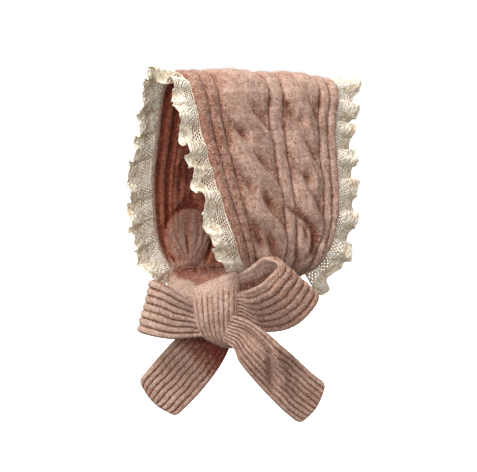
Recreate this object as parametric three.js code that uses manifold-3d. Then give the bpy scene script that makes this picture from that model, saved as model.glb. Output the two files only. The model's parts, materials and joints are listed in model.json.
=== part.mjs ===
// Knitted baby bonnet: one broad cable-knit band over the crown, a crocheted lace ruffle along
// both of its long edges, and two rib-knit ties knotted in a bow below the left cheek.
// Millimetres, +Z up. The face looks out to -Y and the wearer's left is +X.
// The origin is the inside of the crown, where the bonnet sits on the head.

import * as THREE from 'three';
import { mergeVertices } from 'three/addons/utils/BufferGeometryUtils.js';
import Module from 'manifold-3d';

const wasm = await Module();
wasm.setup();

// ---- driving dimensions ----

const HOOD_WALL = 4.6; // thickness of the plain knit between the cables
const SECTIONS_PER_ROW = 2; // sections modelled between two rows of a side table
const PIECE_GAP = 0.5; // room left between the band and the ties sewn to it
const SEAM_GAP = 1.2; // room left between the band and its lace
const KNOT_GAP = 0.4; // room left round the knot
const CROWN_DIP = 12.5; // how far the nape edge of the crown hangs below the face edge
const CROWN_DIP_ROWS = 6; // the dip fades out over this many rows down each side

const CABLE_TURN = 49; // length of band in which a cable's strands cross once
const CABLE_RISE = 6.5; // height of a strand above the plain knit
const RIB_RISE = 1.8; // height of a knitted rib
const GATHER_ROWS = 1.6; // the cables flatten out over this many rows at the ties
const CROWN_ROWS = 2; // and over this many rows at the crown

// Each ruffle: its edge of the band (0 face, 1 nape), its width, the row by the ties where it
// stops, and the angles (radians) at which it stands off the band: along the sides, at the crown
// and by the ties.
const FACE_RUFFLE = { edge: 0, width: 26, lastRow: 10.4, side: -0.1, crown: 0.25, tie: -0.1 };
const NAPE_RUFFLE = { edge: 1, width: 19, lastRow: 10.95, side: -0.2, crown: 0.15, tie: 0.8 };
const LACE_CROWN_ROWS = 1.4; // the crown angle fades out over this many rows
const LACE_CROWN_FULLNESS = 0.1; // share by which a ruffle is wider at the crown
const LACE_TIE_ROW = 8.5; // the angle by the ties begins at this row
const LACE_WALL = 1.3;
const LACE_COLUMNS = 120; // steps along one ruffle
const LACE_COLUMNS_PER_WAVE = 6;
const LACE_WAVE_HEIGHT = 5;
const LACE_EYELET_MARGIN = 6; // columns without an eyelet at each end of a ruffle

const TIE_RIBS = 5;
const TIE_WALL = 3.6;
const TIE_RIB_RISE = 1.3;
const STRAP_DROP = 6; // a strap runs straight on this far before it turns to the knot

const KNOT_AT = new THREE.Vector3(35, -66, -204.5);
const BOW_TURN = THREE.MathUtils.degToRad(56); // the bow faces half way to the wearer's left

// ---- tables ----

// The band, from the crown down each side: how far out the wall stands, how far it has dropped,
// and where its face edge and its nape edge lie along Y.
const LEFT_SIDE = [
  { out: 0, drop: 0, face: -85, nape: 80 },
  { out: 14, drop: 3, face: -85, nape: 78 },
  { out: 24.5, drop: 15, face: -85, nape: 73 },
  { out: 30, drop: 32, face: -84.5, nape: 66 },
  { out: 35, drop: 51, face: -82, nape: 61.5 },
  { out: 40.5, drop: 70, face: -79.5, nape: 59 },
  { out: 46, drop: 89, face: -76.5, nape: 56.5 },
  { out: 51.5, drop: 108, face: -73, nape: 53.5 },
  { out: 56, drop: 127, face: -68, nape: 49 },
  { out: 57.5, drop: 146, face: -61.5, nape: 42 },
  { out: 53, drop: 163, face: -52, nape: 34 },
  { out: 42.5, drop: 174, face: -41, nape: 21 },
];
const RIGHT_SIDE = [
  ...LEFT_SIDE.slice(0, 4),
  { out: 35.5, drop: 51, face: -83.5, nape: 61.5 },
  { out: 42, drop: 70, face: -82, nape: 59 },
  { out: 48.5, drop: 89, face: -80.5, nape: 56.5 },
  { out: 54, drop: 108, face: -77, nape: 53.5 },
  { out: 58.5, drop: 127, face: -73, nape: 49 },
  { out: 61, drop: 146, face: -68.5, nape: 41.5 },
  { out: 61, drop: 163, face: -62, nape: 30 },
  { out: 57.5, drop: 175, face: -55.5, nape: 13 },
];

// Across the band, from the face edge (0) to the nape edge (1): what is knitted up to there.
const STITCH_PATTERN = [
  { kind: 'rib', from: 0, to: 0.08, steps: 2 },
  { kind: 'rib', from: 0.08, to: 0.16, steps: 2 },
  { kind: 'cable', from: 0.16, to: 0.5, steps: 6 },
  { kind: 'rib', from: 0.5, to: 0.6, steps: 2 },
  { kind: 'cable', from: 0.6, to: 0.86, steps: 6 },
  { kind: 'rib', from: 0.86, to: 0.93, steps: 2 },
  { kind: 'rib', from: 0.93, to: 1, steps: 2 },
];

// The knot from its rolled top edge down: the two ends of each slanted row, and its depth.
const KNOT_ROWS = [
  { leftX: -20.5, leftZ: 20, rightX: 17.5, rightZ: 35, depth: 9 },
  { leftX: -22.5, leftZ: 14, rightX: 20.5, rightZ: 29, depth: 20 },
  { leftX: -22, leftZ: 5, rightX: 20.5, rightZ: 15, depth: 26 },
  { leftX: -20.5, leftZ: -5, rightX: 20, rightZ: -1, depth: 28 },
  { leftX: -18, leftZ: -15, rightX: 19, rightZ: -14, depth: 25 },
  { leftX: -12, leftZ: -24, rightX: 17.5, rightZ: -26, depth: 19 },
  { leftX: 3, leftZ: -32, rightX: 14, rightZ: -34, depth: 9 },
];

// Ribbons of the bow, seen from its front: centre of the ribbon, half of its width, and the
// direction across it as a slant (degrees from upright, to the left) and a lean to the front.
const RIGHT_LOOP = [
  { x: 11, y: -3, z: 4, half: 9, slant: 8, lean: 0 },
  { x: 24, y: -8, z: 2.5, half: 12, slant: 18, lean: 14 },
  { x: 38, y: -19, z: -1, half: 22, slant: 31, lean: 24 },
  { x: 57, y: -30, z: 8, half: 26, slant: 42, lean: 22 },
  { x: 72, y: -22, z: 28, half: 25.5, slant: 48, lean: 20 },
  { x: 55, y: -13, z: 33, half: 22, slant: 40, lean: 24 },
  { x: 35, y: -8, z: 26, half: 16, slant: 28, lean: 24 },
  { x: 20, y: 0, z: 21, half: 11, slant: 20, lean: 10 },
  { x: 10, y: 3.5, z: 16, half: 10, slant: 14, lean: 0 },
];
const LEFT_LOOP = [
  { x: -11, y: -4, z: -9, half: 14, slant: 0, lean: 0 },
  { x: -21, y: -6, z: -9, half: 16.5, slant: -2, lean: 0 },
  { x: -36, y: -12, z: -5, half: 21.5, slant: -6, lean: 0 },
  { x: -51, y: -13, z: 0.5, half: 24, slant: -12, lean: 0 },
  { x: -62, y: -4, z: 4, half: 24, slant: -15, lean: 0 },
  { x: -52, y: 6, z: 2, half: 22, slant: -13, lean: 0 },
  { x: -37, y: 7, z: -3, half: 18, slant: -8, lean: 0 },
  { x: -22, y: 4, z: -7, half: 13, slant: -4, lean: 0 },
  { x: -11, y: 3.5, z: -7, half: 11, slant: 0, lean: 0 },
];
const RIGHT_TAIL = [
  { x: 8, y: -8, z: -14, half: 13, slant: -8, lean: 0 },
  { x: 22, y: -15.5, z: -20, half: 14.5, slant: -30, lean: 4 },
  { x: 33, y: -20, z: -31, half: 18.5, slant: -48, lean: 10 },
  { x: 46, y: -18, z: -45, half: 20, slant: -51, lean: 6 },
  { x: 60, y: -12, z: -60, half: 20.5, slant: -46, lean: -6 },
  { x: 73, y: -8, z: -73, half: 21, slant: -40, lean: -4 },
  { x: 86, y: -6, z: -83.5, half: 21.5, slant: -32, lean: 0 },
];
const LEFT_TAIL = [
  { x: 3, y: 8, z: -14, half: 16, slant: 42, lean: 0 },
  { x: -9, y: 12.5, z: -29, half: 20, slant: 42, lean: 0 },
  { x: -22, y: 14, z: -45, half: 22.5, slant: 42, lean: 0 },
  { x: -37, y: 10, z: -62, half: 24, slant: 44, lean: 0 },
  { x: -54, y: 4, z: -81, half: 23, slant: 46, lean: 0 },
];
// The straps start at the band's ends, so only what follows is listed.
const RIGHT_STRAP = [
  { x: -14, y: 91, z: 20.5, half: 34.5, slant: -87, lean: -29 },
  { x: -10.5, y: 64, z: 19.5, half: 31, slant: -81, lean: -27 },
  { x: -8.5, y: 41, z: 18.5, half: 27, slant: -75, lean: -20 },
  { x: -7, y: 20, z: 17, half: 23, slant: -67, lean: -10 },
  { x: -4, y: 5, z: 16, half: 18, slant: -56, lean: -3 },
];
const LEFT_STRAP = [
  { x: 44, y: 24, z: 15, half: 26.5, slant: -103, lean: -32 },
  { x: 35.5, y: 20, z: 7, half: 22, slant: -124, lean: -27 },
  { x: 25.5, y: 14, z: 2, half: 18.5, slant: -143, lean: -19 },
  { x: 15, y: 8, z: 0, half: 15, slant: -160, lean: -10 },
  { x: 6, y: 5, z: 0, half: 13, slant: -170, lean: 0 },
];

// ---- curves and solids ----

// Value of one column of a table at a broken row number, on a smooth curve through the rows.
function smoothColumn(readRow, at) {
  const row = Math.floor(at);
  const part = at - row;
  const [before, start, end, after] = [-1, 0, 1, 2].map((step) => readRow(row + step));
  const pull = (start2, end2) => (end2 - start2) / 2;
  const startPull = pull(before, end);
  const endPull = pull(start, after);
  const square = part * part;
  const cube = square * part;
  return (2 * cube - 3 * square + 1) * start + (cube - 2 * square + part) * startPull
    + (3 * square - 2 * cube) * end + (cube - square) * endPull;
}

function smoothRow(table, at) {
  const last = table.length - 1;
  const result = {};
  for (const column of Object.keys(table[0])) {
    const readRow = (row) => {
      if (row < 0) return 2 * table[0][column] - table[1][column];
      if (row > last) return 2 * table[last][column] - table[last - 1][column];
      return table[row][column];
    };
    result[column] = smoothColumn(readRow, at);
  }
  return result;
}

// Closes two matching grids of points into one solid. Open cells are gaps cut right through.
function solidBetween(upper, lower, isOpen = () => false) {
  const rows = upper.length;
  const columns = upper[0].length;
  const positions = [...upper.flat(), ...lower.flat()].flatMap((point) => point.toArray());
  const index = [];
  const up = (row, column) => row * columns + column;
  const down = (row, column) => (rows + row) * columns + column;
  const quad = (a, b, c, d) => index.push(a, b, c, a, c, d);
  const isFilled = (row, column) => row >= 0 && column >= 0 && row < rows - 1
    && column < columns - 1 && !isOpen(row, column);
  for (let row = 0; row < rows - 1; row += 1) {
    for (let column = 0; column < columns - 1; column += 1) {
      if (!isFilled(row, column)) continue;
      const [r, c, r2, c2] = [row, column, row + 1, column + 1];
      quad(up(r, c), up(r, c2), up(r2, c2), up(r2, c));
      quad(down(r, c), down(r2, c), down(r2, c2), down(r, c2));
      if (!isFilled(r - 1, c)) quad(down(r, c), down(r, c2), up(r, c2), up(r, c));
      if (!isFilled(r2, c)) quad(up(r2, c), up(r2, c2), down(r2, c2), down(r2, c));
      if (!isFilled(r, c - 1)) quad(up(r, c), up(r2, c), down(r2, c), down(r, c));
      if (!isFilled(r, c2)) quad(down(r, c2), down(r2, c2), up(r2, c2), up(r, c2));
    }
  }
  return facingOut(positions, index);
}

function facingOut(positions, index) {
  const geometry = new THREE.BufferGeometry();
  geometry.setAttribute('position', new THREE.Float32BufferAttribute(positions, 3));
  const corner = (place) => new THREE.Vector3().fromArray(positions, 3 * index[place]);
  let volume = 0;
  for (let place = 0; place < index.length; place += 3) {
    volume += corner(place).dot(corner(place + 1).cross(corner(place + 2)));
  }
  geometry.setIndex(volume > 0 ? index : index.reverse());
  return geometry;
}

function toManifold(geometry) {
  const merged = mergeVertices(geometry, 1e-5);
  return new wasm.Manifold(new wasm.Mesh({
    numProp: 3,
    vertProperties: Float32Array.from(merged.attributes.position.array),
    triVerts: Uint32Array.from(merged.index.array),
  }));
}

// What is left of a piece outside its neighbour: the largest body, without loose scraps.
function cutAway(geometry, neighbour) {
  const bodies = toManifold(geometry).subtract(toManifold(neighbour)).decompose();
  const largest = bodies.reduce((best, body) => (body.volume() > best.volume() ? body : best));
  const mesh = largest.getMesh();
  const cut = new THREE.BufferGeometry();
  cut.setAttribute('position', new THREE.Float32BufferAttribute(mesh.vertProperties, 3));
  cut.setIndex([...mesh.triVerts]);
  return cut;
}

function range(count) {
  return Array.from({ length: count }, (_, place) => place);
}

// ---- the cable-knit band ----

const LAST_ROW = LEFT_SIDE.length - 1;

// Row 0 is the crown. Rows above it run down the wearer's left side, rows below it the right.
function bandRow(at) {
  const result = {};
  for (const column of Object.keys(LEFT_SIDE[0])) {
    const readRow = (row) => {
      const side = row < 0 ? RIGHT_SIDE : LEFT_SIDE;
      const sign = row < 0 && column === 'out' ? -1 : 1;
      const place = Math.abs(row);
      if (place <= LAST_ROW) return sign * side[place][column];
      return sign * (2 * side[LAST_ROW][column] - side[2 * LAST_ROW - place][column]);
    };
    result[column] = smoothColumn(readRow, at);
  }
  return result;
}

// A point of the band's inner face; across runs from the face edge (0) to the nape edge (1).
function bandPoint(at, across) {
  const row = bandRow(at);
  const fade = Math.max(0, 1 - (at / CROWN_DIP_ROWS) ** 2);
  const y = row.face + (row.nape - row.face) * across;
  return new THREE.Vector3(row.out, y, -row.drop - CROWN_DIP * fade * across ** 4);
}

function bandOutward(at, across) {
  const step = 0.02;
  const along = bandPoint(at + step, across).sub(bandPoint(at - step, across));
  const over = bandPoint(at, across + step).sub(bandPoint(at, across - step));
  return along.cross(over).normalize();
}

// Length of band between the crown and a row, along its middle.
const BAND_RUN = [0];
for (const row of range(LAST_ROW)) {
  BAND_RUN.push(BAND_RUN[row] + bandPoint(row, 0.5).distanceTo(bandPoint(row + 1, 0.5)));
}

function runAt(at) {
  const place = Math.min(Math.floor(Math.abs(at)), LAST_ROW - 1);
  const part = Math.abs(at) - place;
  const run = BAND_RUN[place] + (BAND_RUN[place + 1] - BAND_RUN[place]) * part;
  return Math.sign(at) * run;
}

// Two strands twist about each other; the one on top always crosses the same way.
function cableHeight(run, place) {
  const turn = (Math.PI * run) / CABLE_TURN;
  const strandHeights = [0, Math.PI].map((phase) => {
    const fromStrand = (place + 0.46 * Math.cos(turn + phase)) / 0.6;
    return Math.sqrt(Math.max(0, 1 - fromStrand ** 2)) * (0.68 + 0.32 * Math.sin(turn + phase));
  });
  return CABLE_RISE * Math.max(...strandHeights);
}

function bandRelief(at, column) {
  if (column.kind === 'cable') {
    const gather = Math.min(1, (LAST_ROW - Math.abs(at)) / GATHER_ROWS);
    const crown = Math.min(1, Math.abs(at) / CROWN_ROWS);
    return Math.min(0.3 + 0.7 * gather, 0.6 + 0.4 * crown) * cableHeight(runAt(at), column.place);
  }
  return RIB_RISE * Math.sqrt(1 - column.place ** 2);
}

// Columns of points across the band; place runs from -1 to 1 over one rib or one cable.
const BAND_COLUMNS = STITCH_PATTERN.flatMap(({ kind, from, to, steps }, order) => {
  const first = order === 0 ? 0 : 1;
  return range(steps + 1).slice(first).map((step) => ({
    kind,
    place: (2 * step) / steps - 1,
    across: from + ((to - from) * step) / steps,
  }));
});

function makeBand() {
  const sections = range(2 * LAST_ROW * SECTIONS_PER_ROW + 1)
    .map((section) => section / SECTIONS_PER_ROW - LAST_ROW);
  const face = (height) => sections.map((at) => BAND_COLUMNS.map((column) => {
    const point = bandPoint(at, column.across);
    return point.addScaledVector(bandOutward(at, column.across), height(at, column));
  }));
  return solidBetween(face((at, column) => HOOD_WALL + bandRelief(at, column)), face(() => 0));
}

// ---- lace ruffles ----

// From the seam to the picot edge: share of the lace's width, and share of the wave's height.
const LACE_ROWS = [
  { width: 0, wave: 0.05 },
  { width: 0.2, wave: 0.2 },
  { width: 0.52, wave: 0.6 },
  { width: 1, wave: 1 },
];
const EYELET_ROW = 1;

// The ruffle's own run: it stands square to the slanting edge, except by the bow, where it
// stays level. It droops over the top of the face opening, and turns in along the nape.
function laceReach(ruffle, at) {
  const step = 0.02;
  const { edge } = ruffle;
  const away = edge === 0 ? -1 : 1;
  if (edge === 0 && at > 0) return new THREE.Vector3(0, away, 0);
  const along = bandPoint(at + step, edge).sub(bandPoint(at - step, edge));
  return bandOutward(at, edge).cross(along).normalize().multiplyScalar(away);
}

function lacePoint(ruffle, at, laceRow) {
  const column = ((at + ruffle.lastRow) / (2 * ruffle.lastRow)) * LACE_COLUMNS;
  const turn = (2 * Math.PI * column) / LACE_COLUMNS_PER_WAVE;
  const nearTie = Math.min(1, Math.max(0, (LAST_ROW - at) / 1.5));
  const taper = ruffle.edge === 0 ? 0.5 + 0.5 * nearTie : 1;
  const atCrown = Math.exp(-((at / LACE_CROWN_ROWS) ** 2));
  const fullness = taper * (1 + LACE_CROWN_FULLNESS * atCrown);
  const reach = ruffle.width * fullness * laceRow.width;
  const atTie = THREE.MathUtils.smoothstep(Math.abs(at), LACE_TIE_ROW, LAST_ROW);
  const flare = THREE.MathUtils.lerp(ruffle.side, ruffle.crown, atCrown)
    + (ruffle.tie - ruffle.side) * atTie;
  const lift = HOOD_WALL / 2 + reach * Math.sin(flare)
    + laceRow.wave * LACE_WAVE_HEIGHT * Math.sin(turn);
  return bandPoint(at, ruffle.edge)
    .addScaledVector(laceReach(ruffle, at), SEAM_GAP + reach * Math.cos(flare))
    .addScaledVector(bandOutward(at, ruffle.edge), lift);
}

function makeLace(ruffle) {
  const step = 0.02;
  const stops = range(LACE_COLUMNS + 1)
    .map((column) => ((2 * column) / LACE_COLUMNS - 1) * ruffle.lastRow);
  const side = (height) => LACE_ROWS.map((laceRow) => stops.map((at) => {
    const point = lacePoint(ruffle, at, laceRow);
    const along = lacePoint(ruffle, at + step, laceRow).sub(point);
    const further = { width: laceRow.width + step, wave: laceRow.wave + step };
    const over = lacePoint(ruffle, at, further).sub(point);
    return point.addScaledVector(over.cross(along).normalize(), height);
  }));
  const isEyelet = (row, column) => row === EYELET_ROW && column % 2 === 1
    && column > LACE_EYELET_MARGIN && column < LACE_COLUMNS - LACE_EYELET_MARGIN;
  return solidBetween(side(LACE_WALL / 2), side(-LACE_WALL / 2), isEyelet);
}

// ---- the bow ----

// Direction across a ribbon from its slant and its lean, in the bow's own frame.
function acrossRibbon(row) {
  const slant = THREE.MathUtils.degToRad(row.slant);
  const lean = THREE.MathUtils.degToRad(row.lean);
  return new THREE.Vector3(
    -Math.sin(slant) * Math.cos(lean),
    -Math.sin(lean),
    Math.cos(slant) * Math.cos(lean),
  );
}

// A rib-knit ribbon swept through the rows of a table, ribbed on both of its faces.
function makeRibbon(table, sectionsPerRow) {
  const sections = range((table.length - 1) * sectionsPerRow + 1)
    .map((section) => section / sectionsPerRow);
  const centre = (row) => new THREE.Vector3(row.x, row.y, row.z);
  const face = (sign) => sections.map((at) => {
    const row = smoothRow(table, at);
    const step = 0.02;
    const along = centre(smoothRow(table, at + step)).sub(centre(smoothRow(table, at - step)));
    const across = acrossRibbon(row);
    const outward = across.clone().cross(along).normalize();
    return range(2 * TIE_RIBS + 1).map((place) => {
      const isRib = place % 2 === 1;
      const isEdge = place === 0 || place === 2 * TIE_RIBS;
      const height = isEdge ? TIE_WALL / 3 : TIE_WALL / 2 + (isRib ? TIE_RIB_RISE : 0);
      return centre(row)
        .addScaledVector(across, row.half * (place / TIE_RIBS - 1))
        .addScaledVector(outward, sign * height);
    });
  });
  return solidBetween(face(1), face(-1));
}

// The knot is a ribbed pad lofted through oval sections, each slanted as its row says.
function makeKnot(grow) {
  const sides = 24;
  const rows = KNOT_ROWS.length;
  const points = KNOT_ROWS.map((row, order) => {
    const left = new THREE.Vector3(row.leftX - grow, 0, row.leftZ);
    const right = new THREE.Vector3(row.rightX + grow, 0, row.rightZ);
    const endLift = order === 0 ? grow : order === rows - 1 ? -grow : 0;
    return range(sides).map((side) => {
      const turn = (2 * Math.PI * side) / sides;
      const ridge = grow === 0 && side % 2 === 0 ? -0.6 : 0;
      const reach = 0.5 + 0.5 * Math.sign(Math.cos(turn)) * Math.abs(Math.cos(turn)) ** 0.8;
      const depth = (row.depth / 2 + grow + ridge) * Math.abs(Math.sin(turn)) ** 0.8;
      const point = left.clone().lerp(right, reach);
      return point.add(new THREE.Vector3(0, Math.sign(Math.sin(turn)) * depth, endLift));
    });
  });
  const middle = (ring) => ring.reduce((sum, point) => sum.add(point), new THREE.Vector3())
    .divideScalar(sides);
  const positions = [...points.flat(), middle(points[0]), middle(points[rows - 1])]
    .flatMap((point) => point.toArray());
  const index = [];
  for (const side of range(sides)) {
    const next = (side + 1) % sides;
    for (const row of range(rows - 1)) {
      const [a, b] = [row * sides + side, row * sides + next];
      index.push(a, b, b + sides, a, b + sides, a + sides);
    }
    const lastRing = (rows - 1) * sides;
    index.push(next, side, rows * sides);
    index.push(lastRing + side, lastRing + next, rows * sides + 1);
  }
  return facingOut(positions, index);
}

// ---- assembly ----

const MATERIALS = {
  cableKnit: { color: 0xa4846f, roughness: 0.95, metalness: 0 },
  ribKnit: { color: 0xae8f7c, roughness: 0.95, metalness: 0 },
  knotKnit: { color: 0xb8998a, roughness: 0.95, metalness: 0 },
  crochetLace: { color: 0xd0bea9, roughness: 0.9, metalness: 0 },
};

function addPiece(group, name, geometry, look) {
  geometry.computeVertexNormals();
  const piece = new THREE.Mesh(geometry, new THREE.MeshStandardMaterial(look));
  piece.name = name;
  group.add(piece);
}

const bonnet = new THREE.Group();
addPiece(bonnet, 'hood_panel', makeBand(), MATERIALS.cableKnit);
addPiece(bonnet, 'front_lace_ruffle', makeLace(FACE_RUFFLE), MATERIALS.crochetLace);
addPiece(bonnet, 'back_lace_ruffle', makeLace(NAPE_RUFFLE), MATERIALS.crochetLace);

const bow = new THREE.Group();
bow.position.copy(KNOT_AT);
bow.rotation.z = BOW_TURN;
bow.updateMatrixWorld();
bonnet.add(bow);

// First two rows of a strap: it leaves the band's end square, seen in the bow's frame.
function strapStart(lastRow) {
  const faceCorner = bandPoint(lastRow, 0);
  const napeCorner = bandPoint(lastRow, 1);
  const downward = bandPoint(lastRow, 0.5).sub(bandPoint(lastRow * 0.99, 0.5)).normalize();
  const middle = faceCorner.clone().lerp(napeCorner, 0.5)
    .addScaledVector(bandOutward(lastRow, 0.5), HOOD_WALL / 2);
  const half = faceCorner.distanceTo(napeCorner) / 2;
  const lean = THREE.MathUtils.radToDeg(BOW_TURN - Math.PI / 2);
  return [PIECE_GAP, PIECE_GAP + STRAP_DROP].map((distance) => {
    const { x, y, z } = bow.worldToLocal(middle.clone().addScaledVector(downward, distance));
    return { x, y, z, half, slant: -90, lean };
  });
}

const knotRoom = makeKnot(KNOT_GAP);
const ribbons = {
  strap_right: { table: [...strapStart(-LAST_ROW), ...RIGHT_STRAP], sectionsPerRow: 1 },
  strap_left: { table: [...strapStart(LAST_ROW), ...LEFT_STRAP], sectionsPerRow: 1 },
  bow_loop_right: { table: RIGHT_LOOP, sectionsPerRow: 2 },
  bow_loop_left: { table: LEFT_LOOP, sectionsPerRow: 2 },
  tie_tail_right: { table: RIGHT_TAIL, sectionsPerRow: 1 },
  tie_tail_left: { table: LEFT_TAIL, sectionsPerRow: 1 },
};
addPiece(bow, 'bow_knot', makeKnot(0), MATERIALS.knotKnit);
for (const [name, { table, sectionsPerRow }] of Object.entries(ribbons)) {
  addPiece(bow, name, cutAway(makeRibbon(table, sectionsPerRow), knotRoom), MATERIALS.ribKnit);
}

export default bonnet;
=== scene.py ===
import json

import bpy
import numpy as np
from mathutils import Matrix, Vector

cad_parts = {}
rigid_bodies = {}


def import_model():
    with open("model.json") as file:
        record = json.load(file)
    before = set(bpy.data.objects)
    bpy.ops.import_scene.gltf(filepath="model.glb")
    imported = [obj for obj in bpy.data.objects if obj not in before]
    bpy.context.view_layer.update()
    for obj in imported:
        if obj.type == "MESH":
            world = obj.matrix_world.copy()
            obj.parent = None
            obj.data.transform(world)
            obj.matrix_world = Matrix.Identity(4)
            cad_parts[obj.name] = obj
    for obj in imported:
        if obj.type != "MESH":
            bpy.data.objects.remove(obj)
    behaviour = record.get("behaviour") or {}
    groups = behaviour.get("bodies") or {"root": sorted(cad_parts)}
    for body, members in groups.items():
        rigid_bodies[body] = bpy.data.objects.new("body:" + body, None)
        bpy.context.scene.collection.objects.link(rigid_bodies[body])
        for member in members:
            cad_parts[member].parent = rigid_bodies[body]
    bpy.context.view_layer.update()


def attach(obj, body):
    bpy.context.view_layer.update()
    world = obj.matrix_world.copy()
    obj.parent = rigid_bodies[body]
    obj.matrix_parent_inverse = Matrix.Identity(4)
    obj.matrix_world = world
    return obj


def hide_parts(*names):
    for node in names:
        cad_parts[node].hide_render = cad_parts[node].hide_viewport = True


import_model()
bpy.ops.object.select_all(action="DESELECT")

# The hood: one broad band of brushed, heathered wool, hand-knitted lengthways in two rope cables
# between narrow ribs. It runs from the wearer's right ear over the crown to the left ear, where
# its ends are drawn together into the ties.
MM = 0.001
HOOD_WALL = 4.6 * MM
CROWN_DIP = 8 * MM  # how far the nape edge of the crown hangs below the face edge
CROWN_DIP_ROWS = 6
CABLE_TURN = 49 * MM  # length of band in which a cable's strands cross once
CABLE_RISE = 6.5 * MM
RIB_RISE = 1.7 * MM
DEEPEST = 3.6 * MM  # the wall's outer face is never pressed in further
GATHER_ROWS = 1.6
CROWN_ROWS = 2
LAST_ROW = 11
CREASE_ROW = 8.95
LEAF_ROW, LEAF_ACROSS = -9.4, 0.31
HOOD_STITCH = 4.4 * MM
HOOD_STEPS = 396  # steps along the band

# From the crown down the left side: how far out the wall stands, how far it has dropped, and
# where its face edge and its nape edge lie. The right side differs from the fifth row on.
LEFT_SIDE = {
    "out": [0, 14, 24.5, 30, 35, 40.5, 46, 51.5, 56, 57.5, 53, 42.5],
    "drop": [0, 3, 15, 32, 51, 70, 89, 108, 127, 146, 163, 174],
    "face": [-85, -85, -85, -84.5, -82, -79.5, -76.5, -73, -68, -61.5, -52, -41],
    "nape": [80, 78, 73, 66, 61.5, 59, 56.5, 53.5, 49, 42, 34, 21],
}
RIGHT_SIDE = {
    "out": [35.5, 42, 48.5, 54, 58.5, 61, 61, 57.5],
    "drop": [51, 70, 89, 108, 127, 146, 163, 175],
    "face": [-83.5, -82, -80.5, -77, -73, -68.5, -62, -55.5],
    "nape": [61.5, 59, 56.5, 53.5, 49, 41.5, 30, 13],
}
BAND = {}
for column, left in LEFT_SIDE.items():
    right = left[:4] + RIGHT_SIDE[column]
    sign = -1 if column == "out" else 1
    BAND[column] = MM * np.array([sign * value for value in right[:0:-1]] + left, float)

# Across the band, from its face edge (0) to its nape edge (1): what is knitted, up to where, in
# how many steps, and how far from the crown a cable's strands set off to cross.
STITCH_PATTERN = [
    ("rib", 0.0, 0.08, 10, 0),
    ("rib", 0.08, 0.16, 10, 0),
    ("cable", 0.16, 0.5, 34, 31.6 * MM),
    ("rib", 0.5, 0.6, 12, 0),
    ("cable", 0.6, 0.86, 28, 21 * MM),
    ("rib", 0.86, 0.93, 10, 0),
    ("rib", 0.93, 1.0, 10, 0),
]

# Hollows beside the crossings: row down a side, place across the band, length in rows, width
# across, and share of the full depth.
DIMPLES = [
    (3.05, 0.40, 0.45, 0.035, 0.5),
    (3.96, 0.285, 0.3, 0.035, 0.75),
    (5.3, 0.39, 0.42, 0.04, 0.6),
    (6.46, 0.25, 0.3, 0.03, 0.65),
    (7.15, 0.38, 0.5, 0.05, 0.95),
    (8.75, 0.225, 0.5, 0.045, 0.95),
    (8.95, 0.35, 0.6, 0.06, 1.0),
    (2.9, 0.66, 0.4, 0.035, 0.5),
    (3.35, 0.725, 0.25, 0.025, 0.7),
    (4.9, 0.79, 0.35, 0.03, 0.5),
    (6.07, 0.73, 0.3, 0.035, 1.0),
    (7.4, 0.80, 0.4, 0.03, 0.6),
    (8.6, 0.685, 0.35, 0.03, 0.7),
]


def smooth(values, at):
    """Value of a table's column at broken row numbers, on a smooth curve through its rows."""
    before_first, after_last = 2 * values[0] - values[1], 2 * values[-1] - values[-2]
    padded = np.concatenate([[before_first], values, [after_last]])
    row = np.clip(np.floor(at), 0, len(values) - 2).astype(int)
    part = at - row
    before, start, end, after = (padded[row + step] for step in range(4))
    square, cube = part**2, part**3
    return (
        (2 * cube - 3 * square + 1) * start
        + (cube - 2 * square + part) * (end - before) / 2
        + (3 * square - 2 * cube) * end
        + (cube - square) * (after - start) / 2
    )


def unit(vectors):
    return vectors / np.linalg.norm(vectors, axis=-1, keepdims=True)


def band_point(at, across):
    """A point of the band's inner face. Row 0 is the crown; rows above it go down the left side."""
    out, drop, face, nape = (smooth(column, at + LAST_ROW) for column in BAND.values())
    fade = np.clip(1 - (at / CROWN_DIP_ROWS) ** 2, 0, None)
    height = -drop - CROWN_DIP * fade * across**3
    return np.stack([out + 0 * across, face + (nape - face) * across, height], -1)


def band_outward(at, across):
    step = 0.02
    along = band_point(at + step, across) - band_point(at - step, across)
    over = band_point(at, across + step) - band_point(at, across - step)
    return unit(np.cross(along, over))


ROWS = np.arange(-LAST_ROW, LAST_ROW + 1)
ROW_MIDDLES = band_point(ROWS.astype(float), np.full(len(ROWS), 0.5))
ROW_GAPS = np.linalg.norm(np.diff(ROW_MIDDLES, axis=0), axis=1)
ROW_RUNS = np.concatenate([[0], np.cumsum(ROW_GAPS)])
ROW_RUNS -= ROW_RUNS[LAST_ROW]


def lumps(first, second, size, seed):
    """Soft unevenness of hand knitting, from -1 to 1, over two lengths along a surface."""
    chance = np.random.default_rng(seed)
    total = np.zeros(np.broadcast(first, second).shape)
    for _ in range(7):
        heading, phase = chance.uniform(0, 2 * np.pi, 2)
        pitch = size * chance.uniform(0.7, 1.5)
        travel = first * np.cos(heading) + second * np.sin(heading)
        total += np.sin(2 * np.pi * travel / pitch + phase)
    return total / 4


def rib_profile(place):
    """A knitted rib from side to side (-1 to 1): a round back and a furrow beside it."""
    furrow = np.exp(-(((1 - np.abs(place)) / 0.3) ** 2))
    return np.sqrt(np.clip(1 - place**2, 0, 1)) - 0.85 * furrow


def stitches(run, place, pitch):
    """The small slanting legs of knitted stitches in one column, from 0 to 1."""
    return 0.5 + 0.5 * np.cos(2 * np.pi * (run / pitch - 0.35 * np.abs(place)))


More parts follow.
